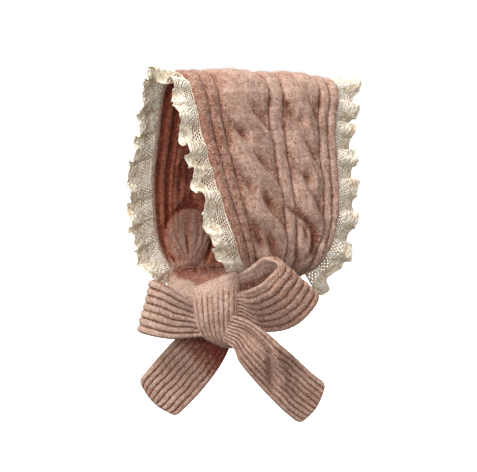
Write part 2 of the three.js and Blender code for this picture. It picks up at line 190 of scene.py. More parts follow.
def cable_profile(run, place, start):
    """Two strands of three stitch columns each. The upper one always crosses the same way."""
    squeeze = 2.0 * np.sign(run) * np.clip(np.abs(run) - 90 * MM, 0, None) ** 2
    turn = np.pi * (run - start + squeeze) / CABLE_TURN
    strands = []
    for phase in (0, np.pi):
        from_strand = (place + 0.46 * np.cos(turn + phase)) / 0.6
        bulge = np.clip(1 - from_strand**2, 0, 1) ** 0.5
        columns = 0.05 * np.cos(3 * np.pi * from_strand) * bulge
        strands.append((bulge + columns) * (0.56 + 0.44 * np.sin(turn + phase)))
    return np.maximum(*strands)


def dimples(at, across):
    """Where the lower strand dives in or comes out: hollows beside the crossings, from 0 to 1."""
    depth = 0 * at
    for row, middle, length, width, share in DIMPLES:
        for side in (-1, 1):
            along = (side * at - row) / length - 0.5 * (across - middle) / width
            depth += share * np.exp(-(along**2) - ((across - middle) / width) ** 2)
    return np.clip(depth, 0, 1)


def hood_relief(at, run, is_cable, place, across, start):
    """Height of the knitting above the plain wall."""
    gather = np.clip((LAST_ROW - np.abs(at)) / GATHER_ROWS, 0, 1)
    crown = np.clip(np.abs(at) / CROWN_ROWS, 0, 1)
    fade = np.minimum(0.3 + 0.7 * gather, 0.4 + 0.6 * crown)
    border = np.exp(-(((1 - np.abs(place)) / 0.05) ** 2))
    cable = CABLE_RISE * fade * cable_profile(run, place, start) - 1.3 * MM * border
    furrow_depth = 1 + 0.35 * lumps(run, 3 * across, 31 * MM, 8)
    furrow_depth = furrow_depth * (0.6 + 0.8 * stitches(run, 0, HOOD_STITCH))
    rib = RIB_RISE * np.where(rib_profile(place) < 0, furrow_depth, 1) * rib_profile(place)
    rib += 0.3 * MM * stitches(run, 0, HOOD_STITCH) * (np.abs(place) > 0.6)
    relief = np.where(is_cable, cable, rib)
    relief += 0.12 * MM * stitches(run, place, HOOD_STITCH)
    relief += 0.8 * MM * lumps(run, 0.15 * across, 14 * MM, 5)
    relief += 0.45 * MM * lumps(run, 0.15 * across, 5 * MM, 9)
    # Pleats where the ends are drawn together, and one deep crease above the left one.
    pleat = np.clip((np.abs(at) - 7.5) / 3.5, 0, 1) ** 1.5
    relief += 1.7 * MM * pleat * lumps(0.35 * run, 0.13 * across, 15 * MM, 6)
    crease = 0.79 - 0.115 * (at - CREASE_ROW) ** 2
    in_crease = np.exp(-(((across - crease) / 0.042) ** 2) - ((at - 8.6) / 1.1) ** 4)
    hollow = np.maximum(0.85 * dimples(at, across), in_crease)
    relief = relief - hollow * (relief + DEEPEST)
    return np.maximum(relief, -DEEPEST)


def lip(from_edge, wall):
    """Share of the wall's thickness near an edge, so that the edge is round."""
    return np.sqrt(np.clip(1 - (1 - np.clip(from_edge / (0.6 * wall), 0, 1)) ** 2, 0, 1))


def point_places(mesh):
    """Places of a mesh's points, one row each."""
    places = np.empty(3 * len(mesh.vertices))
    mesh.vertices.foreach_get("co", places)
    return places.reshape(-1, 3)


def lay_pattern(mesh, cloth, **values):
    """Give a mesh its own UV map, in metres along and across the cloth, and named values that
    its wool is shaded by."""
    corners = np.empty(len(mesh.loops), int)
    mesh.loops.foreach_get("vertex_index", corners)
    mesh.uv_layers[0].data.foreach_set("uv", cloth[corners].ravel())
    for name, value in values.items():
        mesh.attributes.new(name, "FLOAT", "POINT").data.foreach_set("value", value)


def wrap_sheet(name, steps, columns, place_cloth):
    """A closed cloth: a flat grid wrapped over both of its faces and joined along its edges."""
    bpy.ops.mesh.primitive_grid_add(x_subdivisions=steps, y_subdivisions=2 * columns, size=2)
    piece = bpy.context.object
    piece.name = piece.data.name = name
    mesh = piece.data
    flat = point_places(mesh)
    step = np.rint((flat[:, 0] + 1) / 2 * steps).astype(int)
    around = np.rint((flat[:, 1] + 1) * columns).astype(int)
    column = np.where(around <= columns, around, 2 * columns - around)
    is_front = around <= columns
    points, cloth, height, outer = place_cloth(step, column, is_front)
    mesh.vertices.foreach_set("co", points.ravel())
    lay_pattern(mesh, cloth, height=height, front=outer)
    bpy.ops.object.mode_set(mode="EDIT")
    bpy.ops.mesh.select_all(action="SELECT")
    bpy.ops.mesh.remove_doubles(threshold=1e-6)
    bpy.ops.mesh.normals_make_consistent(inside=False)
    bpy.ops.object.mode_set(mode="OBJECT")
    bpy.ops.object.shade_smooth()
    return piece


HOOD_COLUMNS = [(0.0, -1.0, 0.0, 0.0)]
for kind, start, end, count, cable_start in STITCH_PATTERN:
    for number in range(1, count + 1):
        place = -np.cos(np.pi * number / count)
        across = start + (end - start) * (place + 1) / 2
        HOOD_COLUMNS.append((kind == "cable", place, across, cable_start))
IS_CABLE, COLUMN_PLACE, COLUMN_ACROSS, CABLE_START = np.array(HOOD_COLUMNS).T


def hood_lining(at, is_cable, place, across, relief):
    """How far the inner face is pressed outwards, and how much painted light (above 0) or painted
    shade (below 0) it gets. The outer ribs are furrows on this side."""
    groove = 2.2 * MM * np.clip(rib_profile(place), 0, 1) ** 4
    hollow = 0.45 * np.clip(relief, 0, 3 * MM)
    wales = 0.7 * MM * np.cos(2 * np.pi * across / 0.055) * np.clip(1.2 - 2 * across, 0, 1)
    inner = np.where(is_cable > 0, hollow + wales, groove)
    # The back of the last crossing on the right side stands in like a leaf, with folds that run
    # together at its foot and a slit between them.
    along, over = (at - LEAF_ROW) / 1.7, (across - LEAF_ACROSS) / 0.235
    leaf = np.clip(1 - along**2 - over**2, 0, 1) ** 0.5
    fan = (over + 0.12) / np.clip(along + 1.05, 0.25, None) + 0.07 * lumps(over, along, 1.4, 15)
    folds = (0.5 + 0.5 * np.cos(6.6 * np.pi * fan)) ** 3 * np.clip(1.8 * along + 1.8, 0, 1)
    folds *= np.clip(0.75 + 0.5 * lumps(2 * fan, along, 1.1, 16), 0.15, 1)
    slit = np.exp(-(((over + 0.12) / 0.06) ** 2) - ((along + 0.05) / 0.3) ** 4)
    rim = np.exp(-(((along**2 + over**2 - 1.12) / 0.25) ** 2))
    near = np.abs(at - LEAF_ROW) < 2.6
    leaf = leaf * (0.85 + 0.15 * lumps(along, over, 1.1, 14))
    bulge = 5.6 * MM * leaf - 2.0 * MM * folds * leaf - 2.0 * MM * slit
    # Painted light on the leaf, less of it in the folds, and painted shade in the slit; the lining
    # near the right tie gets painted light too.
    pale = near * (leaf**0.6 * np.clip(1 - 0.8 * folds, 0, 1) - 1.8 * slit)
    foot = np.clip((-at - 10.2) / 0.5, 0, 1) * np.clip((0.6 - across) / 0.1, 0, 1)
    pale = np.where(foot > pale, 0.75 * foot, pale)
    return inner * (1 - near * leaf) + near * (0.8 * MM * rim - bulge), pale


def place_hood(step, column, is_front):
    run = ROW_RUNS[0] + (ROW_RUNS[-1] - ROW_RUNS[0]) * step / HOOD_STEPS
    at = np.interp(run, ROW_RUNS, ROWS)
    across, place = COLUMN_ACROSS[column], COLUMN_PLACE[column]
    is_cable, start = IS_CABLE[column], CABLE_START[column]
    width = np.linalg.norm(band_point(at, 0 * at + 1) - band_point(at, 0 * at), axis=-1)
    from_side = np.minimum(across, 1 - across) * width
    from_end = np.minimum(run - ROW_RUNS[0], ROW_RUNS[-1] - run)
    thickness = lip(from_side, HOOD_WALL) * lip(from_end, HOOD_WALL)
    relief = hood_relief(at, run, is_cable > 0, place, across, start)
    inner, pale = hood_lining(at, is_cable, place, across, relief)
    outer_height = (HOOD_WALL / 2 + relief) * thickness
    inner_height = (-HOOD_WALL / 2 + inner) * thickness
    lift = HOOD_WALL / 2 + np.where(is_front, outer_height, inner_height)
    points = band_point(at, across) + band_outward(at, across) * lift[:, None]
    cloth = np.stack([run, (across - 0.5) * width], -1)
    # Painted shade: the lower the knitting lies in its relief (furrows, dimples, the crease), the
    # darker and redder its colour.
    full = np.where(is_cable > 0, 2.4 * MM, 0.8 * MM)
    height = np.clip((relief + 2.2 * MM) / (full + 2.2 * MM), 0, 1)
    # Painted shade: the two ribs along the face edge are coloured darker.
    height *= 0.55 + 0.45 * np.clip((across - 0.12) / 0.08, 0, 1)
    edge = np.clip(1.6 - from_side / (3.5 * MM), 0, 1)
    # Painted shade on the lining: darker in its grooves and towards the crown, paler where the rims
    # and the leaf get painted light. Away from the rims and the leaf, the inside takes the wool's
    # painted inside shade.
    lining_height = 1 - np.clip((inner - 0.1 * MM) / (1.7 * MM), 0, 1)
    lining_height *= 0.35 + 0.65 * np.clip((np.abs(at) - 1.5) / 5, 0, 1)
    lining_height = np.maximum(lining_height, np.maximum(edge, 1.5 * pale))
    lining_height += np.minimum(pale, 0)
    outer = np.where(is_front, 1.0, np.maximum(edge, pale))
    return points, cloth, np.where(is_front, height, lining_height), outer


hood = wrap_sheet("knitted_hood", HOOD_STEPS, len(HOOD_COLUMNS) - 1, place_hood)


def node(tree, kind, **sockets):
    made = tree.nodes.new(kind)
    for name, value in sockets.items():
        setattr(made, name, value)
    return made


def wool(name, light, middle, deep, inside, pitch, column_width, furrow_share):
    """Brushed heathered wool: pale and dark fibres mixed, with painted shade in the furrows and on
    the inside, fuzzy all over.
    """
    material = bpy.data.materials.new(name)
    material.use_nodes = True
    tree = material.node_tree
    shader = tree.nodes["Principled BSDF"]
    shader.inputs["Roughness"].default_value = 0.95
    shader.inputs["Specular IOR Level"].default_value = 0.1
    shader.inputs["Sheen Weight"].default_value = 0.25
    shader.inputs["Sheen Roughness"].default_value = 0.6
    shader.inputs["Sheen Tint"].default_value = (0.95, 0.8, 0.72, 1)
    place = node(tree, "ShaderNodeTexCoord")
    height = node(tree, "ShaderNodeAttribute", attribute_name="height")
    front = node(tree, "ShaderNodeAttribute", attribute_name="front")

    def maths(operation, first, second=None, third=None):
        made = node(tree, "ShaderNodeMath", operation=operation)
        for socket, value in zip(made.inputs, (first, second, third)):
            if isinstance(value, (int, float)):
                socket.default_value = value
            elif value is not None:
                tree.links.new(value, socket)
        return made.outputs[0]

    def unevenness(size, detail):
        """Soft spots of one size, from about -0.5 to 0.5."""
        texture = node(tree, "ShaderNodeTexNoise")
        texture.inputs["Scale"].default_value = 1 / size
        texture.inputs["Detail"].default_value = detail
        tree.links.new(place.outputs["Object"], texture.inputs["Vector"])
        return maths("SUBTRACT", texture.outputs[0], 0.5)

    fleck = unevenness(1.1 * MM, 3)
    tuft = unevenness(3.6 * MM, 2)
    cloud = unevenness(16 * MM, 2)

    # Slanting legs of the stitches, in columns along the cloth. In the colour they add a little
    # painted shade between the columns.
    split = node(tree, "ShaderNodeSeparateXYZ")
    tree.links.new(place.outputs["UV"], split.inputs[0])
    across = maths("MULTIPLY", split.outputs["Y"], 1 / column_width)
    in_column = maths("ABSOLUTE", maths("SUBTRACT", maths("FRACT", across), 0.5))
    along = maths("MULTIPLY", split.outputs["X"], 1 / pitch)
    slanted = maths("MULTIPLY_ADD", in_column, -1.1, along)
    leg = maths("COSINE", maths("MULTIPLY", slanted, 2 * np.pi))
    furrow = maths("POWER", maths("MULTIPLY", in_column, 2), 6)
    knit = maths("SUBTRACT", maths("MULTIPLY_ADD", leg, 0.35, 0.5), furrow)

    # Shade of the wool: painted shade and painted light carried by the height value, stitches, and
    # random fleck tone together. The deep colour serves both dark fibres and painted shade.
    shade = maths("MULTIPLY_ADD", height.outputs["Fac"], furrow_share, 0.66 - furrow_share)
    for part, share in ((knit, 0.05), (fleck, 1.8), (tuft, 0.8), (cloud, 0.4)):
        shade = maths("MULTIPLY_ADD", part, share, shade)
    ramp = node(tree, "ShaderNodeValToRGB")
    stops = ramp.color_ramp.elements
    stops[0].position, stops[0].color = 0.04, (*deep, 1)
    stops[1].position, stops[1].color = 0.98, (*light, 1)
    between = stops.new(0.48)
    between.color = (*middle, 1)
    tree.links.new(shade, ramp.inputs[0])
    # Painted shade: where the front value is below 1, on the inside and in shadowed parts of the
    # bow, the colour is multiplied by the inside shade colour.
    tint = node(tree, "ShaderNodeMix", data_type="RGBA", blend_type="MULTIPLY")
    tree.links.new(maths("SUBTRACT", 1.0, front.outputs["Fac"]), tint.inputs["Factor"])
    tree.links.new(ramp.outputs["Color"], tint.inputs["A"])
    tint.inputs["B"].default_value = (*inside, 1)
    tree.links.new(tint.outputs["Result"], shader.inputs["Base Color"])

    bump = node(tree, "ShaderNodeBump")
    bump.inputs["Strength"].default_value = 0.8
    bump.inputs["Distance"].default_value = 0.9 * MM
    knit_share = maths("MULTIPLY", knit, 0.25)
    relief = maths("MULTIPLY_ADD", fleck, 1.5, maths("MULTIPLY_ADD", tuft, 1.2, knit_share))
    tree.links.new(relief, bump.inputs["Height"])
    tree.links.new(bump.outputs["Normal"], shader.inputs["Normal"])
    return material


hood_wool = wool(
    "brushed_cable_wool",
    light=(0.63, 0.475, 0.4),
    middle=(0.38, 0.215, 0.152),
    deep=(0.15, 0.03, 0.012),
    # colour of the painted shade on the inside
    inside=(1, 0.55, 0.43),
    pitch=HOOD_STITCH,
    column_width=5.6 * MM,
    furrow_share=0.6,
)
hood.data.materials.append(hood_wool)
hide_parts("hood_panel")
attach(hood, "root")

# The two lace ruffles: cream cotton crochet, gathered and sewn under the face edge and the nape
# edge of the hood. A net of small eyelets runs beside the seam, and the free edge is a row of
# small scallops with picots.
SEAM_TUCK = 1.5 * MM  # how far the lace runs into the seam, under the rounded edge
LACE_WAVES = 15.5
LACE_WAVE_HEIGHT = 5.8 * MM
LACE_THREAD = 0.75 * MM
LACE_TIE_ROW = 8.5
LACE_CROWN_ROWS = 1.4
LACE_CROWN_FULLNESS = 0.1
LACE_STEPS = 400
LACE_HEADING = 2.6 * MM
EYELET = 1.6 * MM
EYELET_BAR = 0.75 * MM
SCALLOP_STEPS = 8
PICOT_STEPS = 4
LACE_LENGTH = 0.56  # before it is gathered
# Edge 0 is the face, 1 the nape. A ruffle runs from the hood's row "first" to its row "last", and
# flares outwards (radians) at the sides, the crown and the ties. "drawn" is how far its eyelets
# are pulled open on the right and the left half. "slim" narrows it down the left side, "lean_in"
# turns it in below the right temple, and "calm" flattens its waves on the right side.
FACE_RUFFLE = {
    "edge": 0,
    "width": 27.5 * MM,
    "first": -11.75,
    "last": 10.4,
    "side": -0.1,
    "crown": 0.1,
    "tie": -0.1,
    "net_rows": 4,
    "solid_columns": 8,
    "drawn": (-0.42, 0.22),
    "slim": 0.24,
    "lean_in": 0.18,
    "calm": 0.35,
}
NAPE_RUFFLE = {
    "edge": 1,
    "width": 24.5 * MM,
    "first": -10.95,
    "last": 10.95,
    "side": -0.2,
    "crown": 0.3,
    "tie": 0.8,
    "net_rows": 3,
    "solid_columns": 7,
    "drawn": (-0.1, -0.3),
    "slim": 0,
    "lean_in": 0,
    "calm": 0,
}


def lace_reach(ruffle, at):
    """Which way a ruffle stands off its edge."""
    edge = np.full(at.shape, float(ruffle["edge"]))
    away = -1 if ruffle["edge"] == 0 else 1
    along = unit(band_point(at + 0.02, edge) - band_point(at - 0.02, edge))
    square = unit(np.cross(band_outward(at, edge), along)) * away
    if ruffle["edge"] == 0:
        square = np.where(at[:, None] > 0, [0, away, 0], square)
    return square, along


def lace_lines(ruffle):
    """Distances of the lace's lines from its seam: heading, rows of eyelets with bars, solid."""
    lines = [0, LACE_HEADING]
    for _ in range(ruffle["net_rows"] + 2):
        lines += [lines[-1] + EYELET, lines[-1] + EYELET + EYELET_BAR]
    solid = np.linspace(lines[-1], ruffle["width"], ruffle["solid_columns"] + 1)
    return np.array(lines + list(solid[1:]))


def is_eyelet(ruffle, step, row):
    """Eyelets of a row, staggered from row to row. The last two rows have them in small groups."""
    group = np.cos(2 * np.pi * (step + 0.5) / (2 * SCALLOP_STEPS))
    beyond_net = row - ruffle["net_rows"]
    in_group = np.where(beyond_net < 0, True, group > 0.1 + 0.5 * beyond_net)
    return ((step + row) % 2 == 0) & in_group & (step > 1) & (step < LACE_STEPS - 2)


def make_lace(name, ruffle, seed):
    lines = lace_lines(ruffle)
    columns = len(lines) - 1
    hole_rows = ruffle["net_rows"] + 2
    bpy.ops.mesh.primitive_grid_add(x_subdivisions=LACE_STEPS, y_subdivisions=columns, size=2)
    lace = bpy.context.object
    lace.name = lace.data.name = name
    mesh = lace.data
    flat = point_places(mesh)
    step = np.rint((flat[:, 0] + 1) / 2 * LACE_STEPS).astype(int)
    line = np.rint((flat[:, 1] + 1) / 2 * columns).astype(int)
    out = lines[line] / ruffle["width"]

    # The threads between two eyelets are drawn thin.
    row = (line - 1) // 2
    beside = (line >= 1) & (line <= 2 * hole_rows)
    opens, closes = (is_eyelet(ruffle, step - back, row) for back in (0, 1))
    drawn = np.where(step < LACE_STEPS / 2, *ruffle["drawn"])
    share = (step + drawn * beside * (1.0 * closes - 1.0 * opens)) / LACE_STEPS

    # Gathers: each fold has a height and a place of its own, and leans over towards the crown.
    at = ruffle["first"] + (ruffle["last"] - ruffle["first"]) * share
    turn = 2 * np.pi * LACE_WAVES * share + 1.3 * lumps(share, 0 * share, 0.13, seed)
    strength = 1 + 0.4 * lumps(share, 0 * share, 0.09, seed + 1)
    strength *= 1 - ruffle["calm"] * np.clip(-at, 0, 1)
    beyond = np.clip((lines[line] - LACE_HEADING) / (lines[-1] - LACE_HEADING), 0, 1)
    sewn = np.clip(lines[line] / LACE_HEADING, 0, 1) ** 2
    wave = sewn * (0.3 + 0.7 * beyond**0.9)
    swing = strength * wave * LACE_WAVE_HEIGHT * np.sin(turn)
    swing += 1.5 * MM * out**2 * np.sin(2.7 * turn + 1.3 + 2 * strength)
    slide = -0.5 * np.sin(2 * turn) - 0.25 * np.tanh(at) * np.sin(turn)
    slide *= strength * wave * LACE_WAVE_HEIGHT

    near_tie = np.clip((LAST_ROW - at) / 1.5, 0, 1)
    taper = 0.5 + 0.5 * near_tie if ruffle["edge"] == 0 else 1
    at_crown = np.exp(-((at / LACE_CROWN_ROWS) ** 2))
    tie_part = np.clip((np.abs(at) - LACE_TIE_ROW) / (LAST_ROW - LACE_TIE_ROW), 0, 1)
    at_tie = tie_part**2 * (3 - 2 * tie_part)
    flare = ruffle["side"] + (ruffle["crown"] - ruffle["side"]) * at_crown
    flare = flare + (ruffle["tie"] - ruffle["side"]) * at_tie
    below_right_temple = np.clip(-at, 0, 1) * np.clip((6 + at) / 3.5, 0, 1)
    flare = flare - ruffle["lean_in"] * below_right_temple
    scallop = np.abs(np.sin(np.pi * step / SCALLOP_STEPS)) ** 0.7
    picot = 0.5 + 0.5 * np.cos(2 * np.pi * step / PICOT_STEPS)
    frill = 1 + out**5 * (0.08 * (scallop - 0.5) + 0.06 * (picot - 0.5))
    frill += 0.09 * lumps(share, 0 * share, 0.06, seed + 2) * out
    slim = ruffle["slim"] * np.clip(1.2 * at - 0.6, 0, 1) * np.clip((12 - at) / 6, 0.4, 1)
    reach = ruffle["width"] * taper * (1 + LACE_CROWN_FULLNESS * at_crown) * out * frill
    reach *= 1 - slim - 0.4 * ruffle["slim"] * below_right_temple

    swing += 0.35 * MM * beyond * np.where((step + line) % 2 == 0, 1, -1)
    away, along = lace_reach(ruffle, at)
    edge = np.full(at.shape, float(ruffle["edge"]))
    lift = HOOD_WALL / 2 + reach * np.sin(flare) + swing
    points = band_point(at, edge) + away * (reach * np.cos(flare) - SEAM_TUCK)[:, None]
    points += band_outward(at, edge) * lift[:, None] + along * slide[:, None]
    mesh.vertices.foreach_set("co", points.ravel())
    lay_pattern(mesh, np.stack([share * LACE_LENGTH, out * ruffle["width"]], -1))

    bpy.ops.object.mode_set(mode="EDIT")
    bpy.ops.mesh.select_mode(type="FACE")
    bpy.ops.mesh.select_all(action="DESELECT")
    bpy.ops.object.mode_set(mode="OBJECT")
    number = np.arange(len(mesh.polygons))
    column, over = number // LACE_STEPS, number % LACE_STEPS
    in_hole_row = (column % 2 == 1) & (column < 2 * hole_rows)
    eyelets = in_hole_row & is_eyelet(ruffle, over, (column - 1) // 2)
    mesh.polygons.foreach_set("select", eyelets)
    bpy.ops.object.mode_set(mode="EDIT")
    bpy.ops.mesh.delete(type="FACE")
    bpy.ops.mesh.select_mode(type="VERT")
    bpy.ops.object.mode_set(mode="OBJECT")
    thread = lace.modifiers.new("thread", "SOLIDIFY")
    thread.thickness, thread.offset = LACE_THREAD, 0
    bpy.ops.object.modifier_apply(modifier="thread")
    rounding = lace.modifiers.new("rounding", "SUBSURF")
    rounding.levels = rounding.render_levels = 1
    bpy.ops.object.modifier_apply(modifier="rounding")
    bpy.ops.object.shade_smooth()
    return lace


def cotton(name):
    """Matt cream cotton thread, crocheted in small round stitches."""
    material = bpy.data.materials.new(name)
    material.use_nodes = True
    tree = material.node_tree
    shader = tree.nodes["Principled BSDF"]
    shader.inputs["Roughness"].default_value = 0.85
    shader.inputs["Specular IOR Level"].default_value = 0.2
    shader.inputs["Sheen Weight"].default_value = 0.3
    shader.inputs["Subsurface Weight"].default_value = 0.35
    shader.inputs["Subsurface Radius"].default_value = (1, 0.9, 0.7)
    shader.inputs["Subsurface Scale"].default_value = 1 * MM
    place = node(tree, "ShaderNodeTexCoord")
    stitch = node(tree, "ShaderNodeTexVoronoi")
    stitch.inputs["Scale"].default_value = 1 / (2.6 * MM)
    shade = node(tree, "ShaderNodeTexNoise")
    shade.inputs["Scale"].default_value = 1 / (7 * MM)
    shade.inputs["Detail"].default_value = 5
    for texture, output in ((stitch, "UV"), (shade, "Object")):
        tree.links.new(place.outputs[output], texture.inputs["Vector"])
    # Painted shade: the lace is darker between the round stitches, with random tone from the noise.
    between_stitches = node(tree, "ShaderNodeMath", operation="MULTIPLY_ADD")
    between_stitches.inputs[1].default_value = -0.55
    tree.links.new(stitch.outputs["Distance"], between_stitches.inputs[0])
    tree.links.new(shade.outputs[0], between_stitches.inputs[2])
    ramp = node(tree, "ShaderNodeValToRGB")
    stops = ramp.color_ramp.elements
    stops[0].position, stops[0].color = 0.06, (0.66, 0.55, 0.4, 1)
    stops[1].position, stops[1].color = 0.32, (0.96, 0.91, 0.78, 1)
    tree.links.new(between_stitches.outputs[0], ramp.inputs[0])
    tree.links.new(ramp.outputs["Color"], shader.inputs["Base Color"])
    bump = node(tree, "ShaderNodeBump", invert=True)
    bump.inputs["Strength"].default_value = 0.9
    bump.inputs["Distance"].default_value = 1.6 * MM
    tree.links.new(stitch.outputs["Distance"], bump.inputs["Height"])
    tree.links.new(bump.outputs["Normal"], shader.inputs["Normal"])
    return material


lace_cotton = cotton("cream_crochet_cotton")
front_lace = make_lace("front_lace", FACE_RUFFLE, 11)
back_lace = make_lace("back_lace", NAPE_RUFFLE, 23)
# Each lace's flat width, and its flat area without the eyelets.
for lace, cad_node, width, thread_area in (
    (front_lace, "front_lace_ruffle", 0.0275, 0.0137),
    (back_lace, "back_lace_ruffle", 0.0245, 0.0127),
):
    lace.data.materials.append(lace_cotton)
    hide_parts(cad_node)
    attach(lace, "root")

# The ties: two rib-knit ribbons of the same wool, sewn to the ends of the hood. They come
# together below the left cheek, and from the knot they run on as two loops and two tails.
KNOT_AT = np.array([35, -66, -204.5]) * MM
BOW_TURN = np.radians(56)
TIE_WALL = 3.6 * MM
TIE_RIB_RISE = 1.2 * MM
TIE_RIB_WIDTH = 8 * MM  # of cloth, flat
TIE_STITCH = 3.8 * MM
STRAP_TUCK = 1.5 * MM  # how far a strap runs in under the hood's end
STRAP_DROP = 6 * MM
CORNER_RADIUS = 6 * MM
BOW_RIGHT = np.array([np.cos(BOW_TURN), np.sin(BOW_TURN), 0])
BOW_BACK = np.array([-np.sin(BOW_TURN), np.cos(BOW_TURN), 0])

# Ribbons of the bow, seen from its front: centre of the ribbon (x, y, z), half of its width, and
# the direction across it as a slant (degrees from upright, to the left) and a lean to the front.
RIGHT_LOOP = {
    "x": [11, 24, 38, 57, 72, 55, 35, 20, 10],
    "y": [-3, -8, -19, -30, -22, -13, -8, 0, 3.5],
    "z": [4, 4, 1.5, 10, 28, 33, 26, 21, 16],
    "half": [9, 14, 24, 26.5, 25, 22, 16, 11, 10],
    "slant": [8, 18, 31, 42, 48, 40, 28, 20, 14],
    "lean": [0, 14, 24, 22, 20, 24, 24, 10, 0],
}
LEFT_LOOP = {
    "x": [-11, -21, -36, -51, -62, -52, -37, -22, -11],
    "y": [-4, -6, -12, -13, -4, 6, 7, 4, 3.5],
    "z": [-9, -8.5, -4, 1.2, 4, 2, -3, -7, -7],
    "half": [14, 15.5, 20.5, 23.4, 24, 22, 18, 13, 11],
    "slant": [0, -2, -6, -12, -15, -13, -8, -4, 0],
    "lean": [0] * 9,
}
RIGHT_TAIL = {
    "x": [8, 22, 33, 46, 60, 73, 86],
    "y": [-8, -15.5, -20, -18, -12, -8, -6],
    "z": [-14, -20, -31, -45, -60, -73, -83.5],
    "half": [13, 14.5, 18.5, 20, 20.5, 21, 21.5],
    "slant": [-8, -30, -48, -51, -46, -40, -32],
    "lean": [0, 4, 10, 6, -6, -4, 0],
}
LEFT_TAIL = {
    "x": [4, -7.5, -20.5, -36, -54],
    "y": [8, 12.5, 14, 10, 4],
    "z": [-14, -29, -45, -62, -81],
    "half": [16, 21.5, 24, 24.5, 23],
    "slant": [42, 42, 42, 44, 46],
    "lean": [0] * 5,
}
# The straps start at the hood's ends, so only what follows is listed.
RIGHT_STRAP = {
    "x": [-14, -10.5, -8.5, -7, -4],
    "y": [91, 64, 41, 20, 5],
    "z": [20.5, 19.5, 18.5, 17, 16],
    "half": [34.5, 31, 27, 23, 18],
    "slant": [-87, -81, -75, -67, -56],
    "lean": [-29, -27, -20, -10, -3],
}
LEFT_STRAP = {
    "x": [44, 35.5, 25.5, 15, 6],
    "y": [24, 20, 14, 8, 5],
    "z": [15, 7, 2, 0, 0],
    "half": [26.5, 22, 18.5, 15, 13],
    "slant": [-103, -124, -143, -160, -170],
    "lean": [-32, -27, -19, -10, 0],
}
# Folds and rolled edges: on which ribbon, where a fold starts and stops (share of the ribbon's
# length, and place across it from -1 to 1), how wide it is, and how high it stands.
FOLDS = [
    ("right_tail", 0.16, 0.3, 0.42, 0.25, 0.22, 7 * MM),
    ("right_tail", 0.42, 0.25, 0.68, -0.6, 0.22, 8 * MM),
    ("right_tail", 0.4, 0.65, 0.72, -0.15, 0.17, -7 * MM),
    ("right_loop", 0.0, 0.9, 0.5, 0.9, 0.16, 1.4 * MM),
    ("left_tail", 0.0, 0.1, 0.5, 0.25, 0.2, -1.6 * MM),
    ("left_loop", 0.0, 0.4, 0.35, 0.3, 0.2, -1.2 * MM),
]


def strap_table(table, last_row):
    """A strap leaves the hood's end square, and runs straight on before it turns to the knot."""
    at = np.array([float(last_row)])
    face, nape = band_point(at, at * 0)[0], band_point(at, at * 0 + 1)[0]
    downward = unit(band_point(at, at * 0 + 0.5)[0] - band_point(at * 0.99, at * 0 + 0.5)[0])
    middle = (face + nape) / 2 + band_outward(at, at * 0 + 0.5)[0] * HOOD_WALL / 2
    starts = {name: [] for name in table}
    for distance in (-STRAP_TUCK, STRAP_DROP - STRAP_TUCK):
        offset = (middle + downward * distance - KNOT_AT) / MM
        starts["x"].append(offset @ BOW_RIGHT)
        starts["y"].append(offset @ BOW_BACK)
        starts["z"].append(offset[2])
        starts["half"].append(np.linalg.norm(face - nape) / 2 / MM)
        starts["slant"].append(-90)
        starts["lean"].append(np.degrees(BOW_TURN) - 90)
    return {name: starts[name] + values for name, values in table.items()}


# Ribbons that start deep in the bow get painted shadow on their front face there, which also thins
# their nap: from where it fades, over how far, and how much redder it is there.
PAINTED_BOW_SHADOW = {
    "left_tail": (22 * MM, 24 * MM, 0.6),
    "right_tail": (6 * MM, 8 * MM, 0.2),
    "right_loop": (6 * MM, 20 * MM, 0.3),
}

# Ribbons painted paler (above 1) as painted light where the light falls on them, or deeper (below 1)
# as painted shade where they face away from it.
PAINTED_RIBBON_LIGHT_AND_SHADE = {"left_loop": 1.15, "right_loop": 0.84, "left_tail": 0.95, "right_tail": 0.95}


def fold_lift(name, share, aside):
    """Height of a ribbon's folds, and how far they stretch its ribs flat, from 0 to 1."""
    lift, flat = 0 * share, 0 * share
    for ribbon, start, start_aside, stop, stop_aside, width, height in FOLDS:
        if ribbon != name:
            continue
        part = np.clip((share - start) / (stop - start), 0, 1)
        middle = start_aside + (stop_aside - start_aside) * part
        ends = np.clip(np.minimum(share - start + 0.06, stop + 0.06 - share) / 0.12, 0, 1)
        ridge = np.exp(-(((aside - middle) / width) ** 2)) * ends
        lift = lift + height * ridge
        flat = np.maximum(flat, ridge * (height > 0))
    return lift, flat


